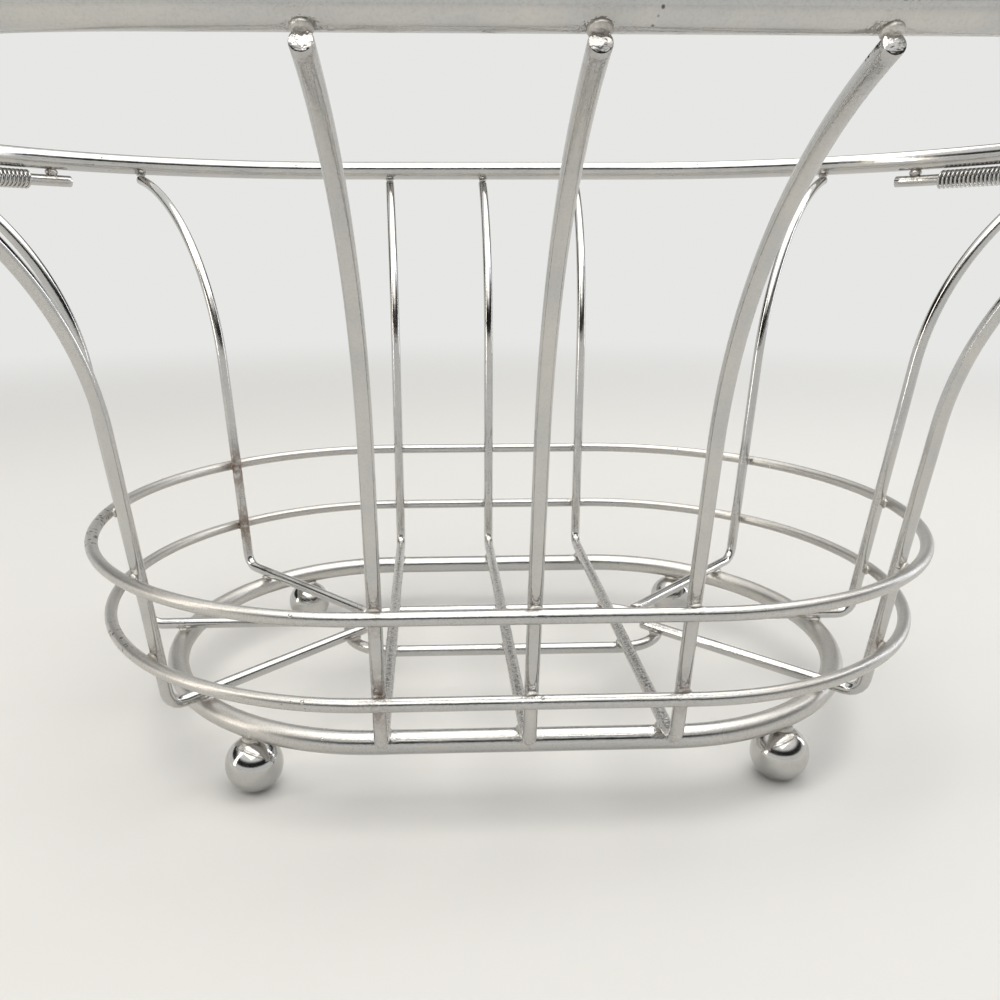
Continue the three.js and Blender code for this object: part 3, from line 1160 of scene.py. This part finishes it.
@dataclass
class Grip:
    """One end's grip: a rod under the rim, held off it by two spacers, with a coil wound round it.

    Attributes:
        end: which end of the basket.
        rim: the rim that it follows.
        overhang: how far the rod runs on past a spacer.
        rod_burr: width of the broken edge at the rod's ends.
        coil_inset: how far from a spacer the coil starts.
        coil_wire: the coil's wire.
        coil_clearance: gap between the coil and the rod.
        coil_pitch: distance from one turn to the next.
        coil_sides: number of sides of the coil wire's section.
        coil_burr: width of the broken edge at the coil's ends.
        weld_gap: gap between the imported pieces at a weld.
        outline: a spacer's upper half, from belly to axis, as shares of its radius and half its height.
        spacer_sides: number of sides round a spacer.
        stain: how brown a spacer's welds are.
    """

    end: End
    rim: Oval
    overhang: float = 7 * MM
    rod_burr: float = 0.2 * MM
    coil_inset: float = 9.5 * MM
    coil_wire: float = 0.9 * MM
    coil_clearance: float = 0.45 * MM
    coil_pitch: float = 1.6 * MM
    coil_sides: int = 10
    coil_burr: float = 0.1 * MM
    weld_gap: float = 0.3 * MM
    outline: tuple[tuple[float, float], ...] = (
        (1.0, 0.0), (0.95, 0.35), (0.78, 0.72), (0.62, 1.0), (0.0, 1.0))
    spacer_sides: int = 32
    stain: float = 0.3

    def __post_init__(self) -> None:
        """Reads the rod's section, height and reach from the frame."""
        self.word = self.end.name.lower()
        low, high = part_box(f"grip_rod_{self.word}")
        self.wire = high.z - low.z
        self.height = (low.z + high.z) / 2
        self.reach = math.asin(high.y / (self.rim.radius + self.wire / 2))
        self.centre = Vector((self.end.value * self.rim.straight / 2, 0, self.height))
        self.facing = 0.0 if self.end is End.RIGHT else math.pi

    def rod(self) -> BMesh:
        """Bends the rod along the rim's end.

        Returns:
            Its mesh.
        """
        first = self.facing - self.reach
        start = self.centre + Vector((math.cos(first), math.sin(first), 0)) * self.rim.radius
        bender = WireBender(self.wire, start, Vector((-math.sin(first), math.cos(first), 0)))
        bender.turn(self.centre, UP, 2 * self.reach)
        return bender.cut(self.rod_burr)

    def coil(self) -> BMesh:
        """Winds the coil on a straight line and lays it along the rim's end.

        Returns:
            Its mesh.
        """
        radius = self.wire / 2 + self.coil_clearance + self.coil_wire / 2
        length = 2 * (self.reach * self.rim.radius - self.overhang - self.coil_inset)
        turns = round(length / self.coil_pitch)
        start = Vector((-length / 2, radius, 0))
        heading = Vector((length / turns, 0, 2 * math.pi * radius))
        bender = WireBender(self.coil_wire, start, heading, self.coil_sides)
        bender.wind(Vector((1, 0, 0)), length / turns, turns)
        mesh = bender.cut(self.coil_burr)
        for vertex in mesh.verts:
            angle = self.facing + vertex.co.x / self.rim.radius
            arm = self.rim.radius + vertex.co.y
            vertex.co = self.centre + Vector((arm * math.cos(angle), arm * math.sin(angle), vertex.co.z))
        bmesh.ops.recalc_face_normals(mesh, faces=mesh.faces)
        return mesh

    def spacer(self, node: str) -> tuple[BMesh, Vector]:
        """Turns a spacer: a bellied disc that the welds have drawn out to the rod and the rim.

        Args:
            node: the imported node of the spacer.

        Returns:
            Its mesh, and the middle of the spacer.
        """
        low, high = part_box(node)
        middle = (low + high) / 2
        belly = (high.x - low.x) / 2
        half = (high.z - low.z) / 2 + 2 * self.weld_gap
        lower = [(wide, -tall) for wide, tall in reversed(self.outline[1:])]
        mesh = bmesh.new()
        verts = [mesh.verts.new(middle + Vector((belly * wide, 0, half * tall)))
                 for wide, tall in (*lower, *self.outline)]
        edges = [mesh.edges.new(pair) for pair in zip(verts, verts[1:])]
        bmesh.ops.spin(mesh, geom=[*verts, *edges], cent=middle, axis=UP, angle=2 * math.pi,
                       steps=self.spacer_sides, use_merge=True)
        bmesh.ops.remove_doubles(mesh, verts=mesh.verts, dist=SPACER_SEAM)
        bmesh.ops.recalc_face_normals(mesh, faces=mesh.faces)
        return mesh, middle

    def build(self, bright: Material, spring: Material) -> None:
        """Makes the grip's pieces.

        Args:
            bright: the finish of the rod and its spacers.
            spring: the finish of the coil.
        """
        welds = []
        for side in Side:
            node = f"grip_spacer_{side.name.lower()}_{self.word}"
            mesh, middle = self.spacer(node)
            # This weld has no bead of its own, because the spacer itself reaches the rod and the rim.
            welds.append(Weld(middle, UP, 0.0, 0.0, self.stain))
            finished(mesh, f"welded_{node}", bright, [node], welds[-1:])
        rod = f"grip_rod_{self.word}"
        finished(self.rod(), f"bent_{rod}", bright, [rod], welds)
        coil = f"grip_coil_{self.word}"
        finished(self.coil(), f"wound_{coil}", spring, [coil])


@dataclass
class Feet:
    """The four ball feet.

    Attributes:
        diameter: of a ball.
        flat: diameter of the flat that a ball stands on.
        burr: width of the flat's broken edge.
        sides: number of sides round a ball.
        rows: number of rows of faces from its top to its foot.
        bead: radius and half thickness of a weld's bead.
        stain: how brown the welds are.
    """

    diameter: float = 16 * MM
    flat: float = 5 * MM
    burr: float = 0.15 * MM
    sides: int = 64
    rows: int = 40
    bead: tuple[float, float] = (2.9 * MM, 1.1 * MM)
    stain: float = 0.25

    def ball(self, middle: Vector) -> BMesh:
        """Makes one ball with its flat.

        Args:
            middle: the ball's middle.

        Returns:
            Its mesh.
        """
        mesh = bmesh.new()
        bmesh.ops.create_uvsphere(mesh, u_segments=self.sides, v_segments=self.rows, radius=self.diameter / 2,
                                  matrix=Matrix.Translation(middle))
        everything = [*mesh.verts, *mesh.edges, *mesh.faces]
        bmesh.ops.bisect_plane(mesh, geom=everything, plane_co=(0, 0, 0), plane_no=-UP, clear_outer=True)
        cap(mesh, self.burr)
        return mesh

    def build(self, base: Oval, mirror: Material, bright: Material) -> None:
        """Makes the feet and the welds that hold them.

        Args:
            base: the ring that they are welded to.
            mirror: the balls' finish.
            bright: the welds' finish.
        """
        rise = math.sqrt((self.diameter / 2) ** 2 - (self.flat / 2) ** 2)
        welds = []
        for side in Side:
            for end in End:
                node = f"foot_{side.name.lower()}_{end.name.lower()}"
                low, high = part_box(node)
                middle = Vector(((low.x + high.x) / 2, (low.y + high.y) / 2, rise))
                top = Vector((middle.x, middle.y, (high.z + base.height - base.wire / 2) / 2))
                weld = Weld(top, UP, *self.bead, self.stain)
                welds.append(weld)
                finished(self.ball(middle), f"polished_{node}", mirror, [node], [weld])
        Beads().build("foot_welds", "base_chrome", bright, welds)


@dataclass(frozen=True)
class SoftBox:
    """A soft box, which is a lamp with a large face.

    Attributes:
        name: the lamp's name.
        place: where it hangs.
        size: width and height of its face.
        power: its power in watts.
        colour: the colour of its light.
    """

    name: str
    place: tuple[float, float, float]
    size: tuple[float, float]
    power: float
    colour: str


@dataclass
class Studio:
    """The pale floor with its sweep, the lights and the camera.

    Attributes:
        paper: the colour of the floor and the sweep.
        matt: roughness of the paper.
        shine: strength of the paper's faint shine.
        reach: half the floor's width.
        back: how far behind the basket the sweep starts.
        sweep: radius of the sweep.
        sweep_steps: number of steps in the sweep.
        shadow_reach: how far from the middle the floor shows its own light and shadow.
        even_reach: how far from the middle the floor looks evenly pale.
        wall_top: the heights between which the wall turns into the dark band, as sines of the angle.
        band: strength of the dark band.
        dome_foot: the heights between which the band turns into the dome.
        dome: strength of the dome, at which the paper's tone is white.
        room_colour: colour of the light from all round.
        room_light: strength of that light.
        boxes: the soft boxes, a large one overhead and a tall narrow one at each side.
        aim: what the soft boxes point at.
        eye: the camera's place.
        yaw, pitch, roll: the camera's direction, in radians.
        focal: focal length, as a share of the picture's width.
        middle: where the camera's axis meets the picture, as shares of its width and height.
        sensor_mm: width of the camera's sensor.
        nearest: how near to the camera things are still drawn.
    """

    paper: str = "#E7E7E5"
    matt: float = 0.85
    shine: float = 0.2
    reach: float = 4.0
    back: float = 1.1
    sweep: float = 0.9
    sweep_steps: int = 24
    shadow_reach: float = 0.4
    even_reach: float = 1.2
    wall_top: tuple[float, float] = (0.2, 0.28)
    band: float = 0.03
    dome_foot: tuple[float, float] = (0.48, 0.66)
    dome: float = 1.25
    room_colour: str = "#F8F9FB"
    room_light: float = 0.34
    boxes: tuple[SoftBox, ...] = (
        SoftBox("overhead_box", (0.1, -0.1, 1.15), (1.9, 1.3), 14.5, "#FFFBF4"),
        SoftBox("left_strip", (-1.05, -0.35, 0.55), (0.22, 1.0), 2.9, "#FFF7EC"),
        SoftBox("right_strip", (1.1, 0.3, 0.55), (0.18, 1.0), 2.1, "#F6F8FF"),
    )
    aim: tuple[float, float, float] = (0.0, 0.0, 0.09)
    eye: tuple[float, float, float] = (-23.51 * MM, -266.93 * MM, 143.97 * MM)
    yaw: float = 0.0343
    pitch: float = 0.3267
    roll: float = 0.002
    focal: float = 0.8575
    middle: tuple[float, float] = (0.4611, 0.5378)
    sensor_mm: float = 36.0
    nearest: float = 5 * MM

    def build(self) -> None:
        """Sets up the whole studio."""
        self.floor()
        self.world()
        self.lights()
        self.camera()

    def floor(self) -> None:
        """Lays the floor and sweeps it up behind the basket."""
        mesh = bmesh.new()
        near = [mesh.verts.new((x, -self.reach, 0)) for x in (-self.reach, self.reach)]
        line = [*near, mesh.edges.new(near)]
        flat = bmesh.ops.spin(mesh, geom=line, cent=(0, 0, 0), axis=(1, 0, 0), angle=0.0,
                              dvec=(0, self.reach + self.back, 0), steps=1)["geom_last"]
        bmesh.ops.spin(mesh, geom=flat, cent=(0, self.back, self.sweep), axis=(1, 0, 0),
                       angle=math.pi / 2, steps=self.sweep_steps)
        bmesh.ops.recalc_face_normals(mesh, faces=mesh.faces)
        placed(mesh, "studio_floor", self.background_paper())

    def background_paper(self) -> Material:
        """Makes the matt paper, which shows shadow near the basket and is evenly pale further off.

        Returns:
            The material.
        """
        made = bpy.data.materials.new("matt background paper")
        made.use_nodes = True
        tree = made.node_tree
        shader = tree.nodes["Principled BSDF"]
        shader.inputs["Base Color"].default_value = linear(self.paper)
        shader.inputs["Roughness"].default_value = self.matt
        shader.inputs["Specular IOR Level"].default_value = self.shine
        even = add_node(tree, "ShaderNodeEmission", {"Color": linear(self.paper), "Strength": 1.0})
        place = add_node(tree, "ShaderNodeTexCoord").outputs["Object"]
        far = add_node(tree, "ShaderNodeVectorMath", {0: place}, operation="LENGTH")
        fade = add_node(tree, "ShaderNodeMapRange", {
            "Value": far.outputs["Value"], "From Min": self.shadow_reach, "From Max": self.even_reach},
            interpolation_type="SMOOTHSTEP")
        share = add_node(tree, "ShaderNodeMath", {0: fade.outputs["Result"], 1: self.shown(tree)},
                         operation="MULTIPLY")
        mixed = add_node(tree, "ShaderNodeMixShader", {
            0: share.outputs["Value"], 1: shader.outputs["BSDF"], 2: even.outputs["Emission"]})
        tree.links.new(mixed.outputs["Shader"], tree.nodes["Material Output"].inputs["Surface"])
        return made

    def shown(self, tree: NodeTree) -> NodeSocket:
        """Tells what is seen, directly or in a reflection, from what only lights.

        Args:
            tree: the node tree.

        Returns:
            1 for camera, glossy and transmission rays.
        """
        path = add_node(tree, "ShaderNodeLightPath").outputs
        shiny = add_node(tree, "ShaderNodeMath", {0: path["Is Glossy Ray"], 1: path["Is Transmission Ray"]},
                         operation="MAXIMUM")
        seen = add_node(tree, "ShaderNodeMath", {0: path["Is Camera Ray"], 1: shiny.outputs["Value"]},
                        operation="MAXIMUM")
        return seen.outputs["Value"]

    def world(self) -> None:
        """Lights the room evenly and shows it as pale as the paper.

        A reflection finds the same pale wall, then a dark band and a dome, which give the plate its contrast.
        """
        room = bpy.data.worlds.new("studio room")
        bpy.context.scene.world = room
        room.use_nodes = True
        tree = room.node_tree
        tree.nodes.clear()
        way = add_node(tree, "ShaderNodeTexCoord").outputs["Generated"]
        height = add_node(tree, "ShaderNodeSeparateXYZ", {"Vector": way}).outputs["Z"]
        parts = []
        for (foot, top), below, above in ((self.wall_top, 1.0, self.band), (self.dome_foot, 0.0, self.dome)):
            part = add_node(tree, "ShaderNodeMapRange", {
                "Value": height, "From Min": foot, "From Max": top, "To Min": below, "To Max": above},
                interpolation_type="SMOOTHSTEP")
            parts.append(part.outputs["Result"])
        tone = add_node(tree, "ShaderNodeMath", {0: parts[0], 1: parts[1]}, operation="MAXIMUM")
        straight = add_node(tree, "ShaderNodeLightPath").outputs["Is Camera Ray"]
        plain = add_node(tree, "ShaderNodeMix", {"Factor": straight, "A": tone.outputs["Value"], "B": 1.0})
        seen = add_node(tree, "ShaderNodeBackground", {
            "Color": linear(self.paper), "Strength": plain.outputs["Result"]})
        light = add_node(tree, "ShaderNodeBackground", {
            "Color": linear(self.room_colour), "Strength": self.room_light})
        mixed = add_node(tree, "ShaderNodeMixShader", {
            0: self.shown(tree), 1: light.outputs["Background"], 2: seen.outputs["Background"]})
        add_node(tree, "ShaderNodeOutputWorld", {"Surface": mixed.outputs["Shader"]})

    def lights(self) -> None:
        """Hangs the soft boxes."""
        for box in self.boxes:
            lamp = bpy.data.lights.new(box.name, "AREA")
            lamp.shape = "RECTANGLE"
            lamp.size, lamp.size_y = box.size
            lamp.energy = box.power
            lamp.color = linear(box.colour)[:3]
            hung = bpy.data.objects.new(box.name, lamp)
            hung.location = box.place
            away = Vector(self.aim) - Vector(box.place)
            hung.rotation_euler = away.to_track_quat("-Z", "Y").to_euler()
            bpy.context.scene.collection.objects.link(hung)

    def camera(self) -> None:
        """Puts the camera where the photograph was taken from."""
        ahead = Vector((math.sin(self.yaw) * math.cos(self.pitch), math.cos(self.yaw) * math.cos(self.pitch),
                        -math.sin(self.pitch)))
        right = Vector((math.cos(self.yaw), -math.sin(self.yaw), 0))
        down = ahead.cross(right)
        level_right = right * math.cos(self.roll) + down * math.sin(self.roll)
        level_down = down * math.cos(self.roll) - right * math.sin(self.roll)
        lens = bpy.data.cameras.new("camera")
        lens.sensor_width = self.sensor_mm
        lens.lens = self.focal * self.sensor_mm
        lens.shift_x = 0.5 - self.middle[0]
        lens.shift_y = self.middle[1] - 0.5
        lens.clip_start = self.nearest
        eye = bpy.data.objects.new("camera", lens)
        turned = Matrix((level_right, -level_down, -ahead)).transposed().to_4x4()
        eye.matrix_world = Matrix.Translation(self.eye) @ turned
        bpy.context.scene.collection.objects.link(eye)
        bpy.context.scene.camera = eye


def main() -> None:
    """Builds the studio and the basket's pieces in order."""
    logging.basicConfig(level=logging.INFO, format="%(relativeCreated)6d ms  %(message)s")
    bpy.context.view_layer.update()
    bpy.context.scene.view_settings.view_transform = "Standard"
    Studio().build()
    # Chrome on thick rod, polished before plating: a clear white streak, dull in patches.
    rod = ChromePlate("chrome plate on rod", gloss=0.1, haze=0.24, cluster_edge=0.68).material()
    # Chrome on hoops and rings: bright along the straights, a broad soft highlight with grain at the bends.
    hoop = ChromePlate(
        "satin chrome plate on hoops", gloss=0.15, haze=0.36, patchy=0.5, bend_mm=28.0, grain=0.24,
        peel=0.14, cluster_edge=0.68).material()
    # Chrome on hard drawn wire: a thin sharp streak up each rib.
    drawn = ChromePlate("chrome plate on drawn wire", gloss=0.08, haze=0.2, cluster_edge=0.72).material()
    # The same on the cross wires, which carry the load: the floor runs are frosted by scuffs.
    scuffed = ChromePlate(
        "scuffed chrome plate on cross wires", gloss=0.08, haze=0.2, scuff_top_mm=27.0,
        cluster_edge=0.72).material()
    # Chrome on ground and polished balls: a small round picture of the room, a little scratched.
    mirror = ChromePlate(
        "mirror chrome plate on balls", gloss=0.08, haze=0.18, grain=0.1, peel=0.04,
        cluster_edge=0.7).material()
    # Plated spring wire, dull from handling: each turn catches a short soft highlight.
    spring = ChromePlate("plated spring wire", gloss=0.2, haze=0.32, grain=0.15, cluster_edge=0.7).material()
    # Plate over fused metal: frosted lumps that glint in the corner between two wires.
    fused = ChromePlate(
        "frosted plate over welds", tint="#CAC8C4", rubbed="#D8D6D1", gloss=0.36, haze=0.5, peel=0.3,
        cluster_edge=0.72).material()
    cage = Cage()
    cage.build(rod, hoop, drawn, scuffed)
    Beads().build("hoop_welds", "wire_chrome", fused, cage.hoop_welds)
    Beads().build("floor_welds", "wire_chrome", fused, cage.floor_welds)
    Beads().build("rim_welds", "rim_chrome", fused, cage.rim_welds)
    Nibs().build(cage, rod)
    for end in End:
        Grip(end, cage.rim).build(rod, spring)
    Feet().build(cage.ovals["base_ring"], mirror, fused)


if __name__ == "__main__":
    main()
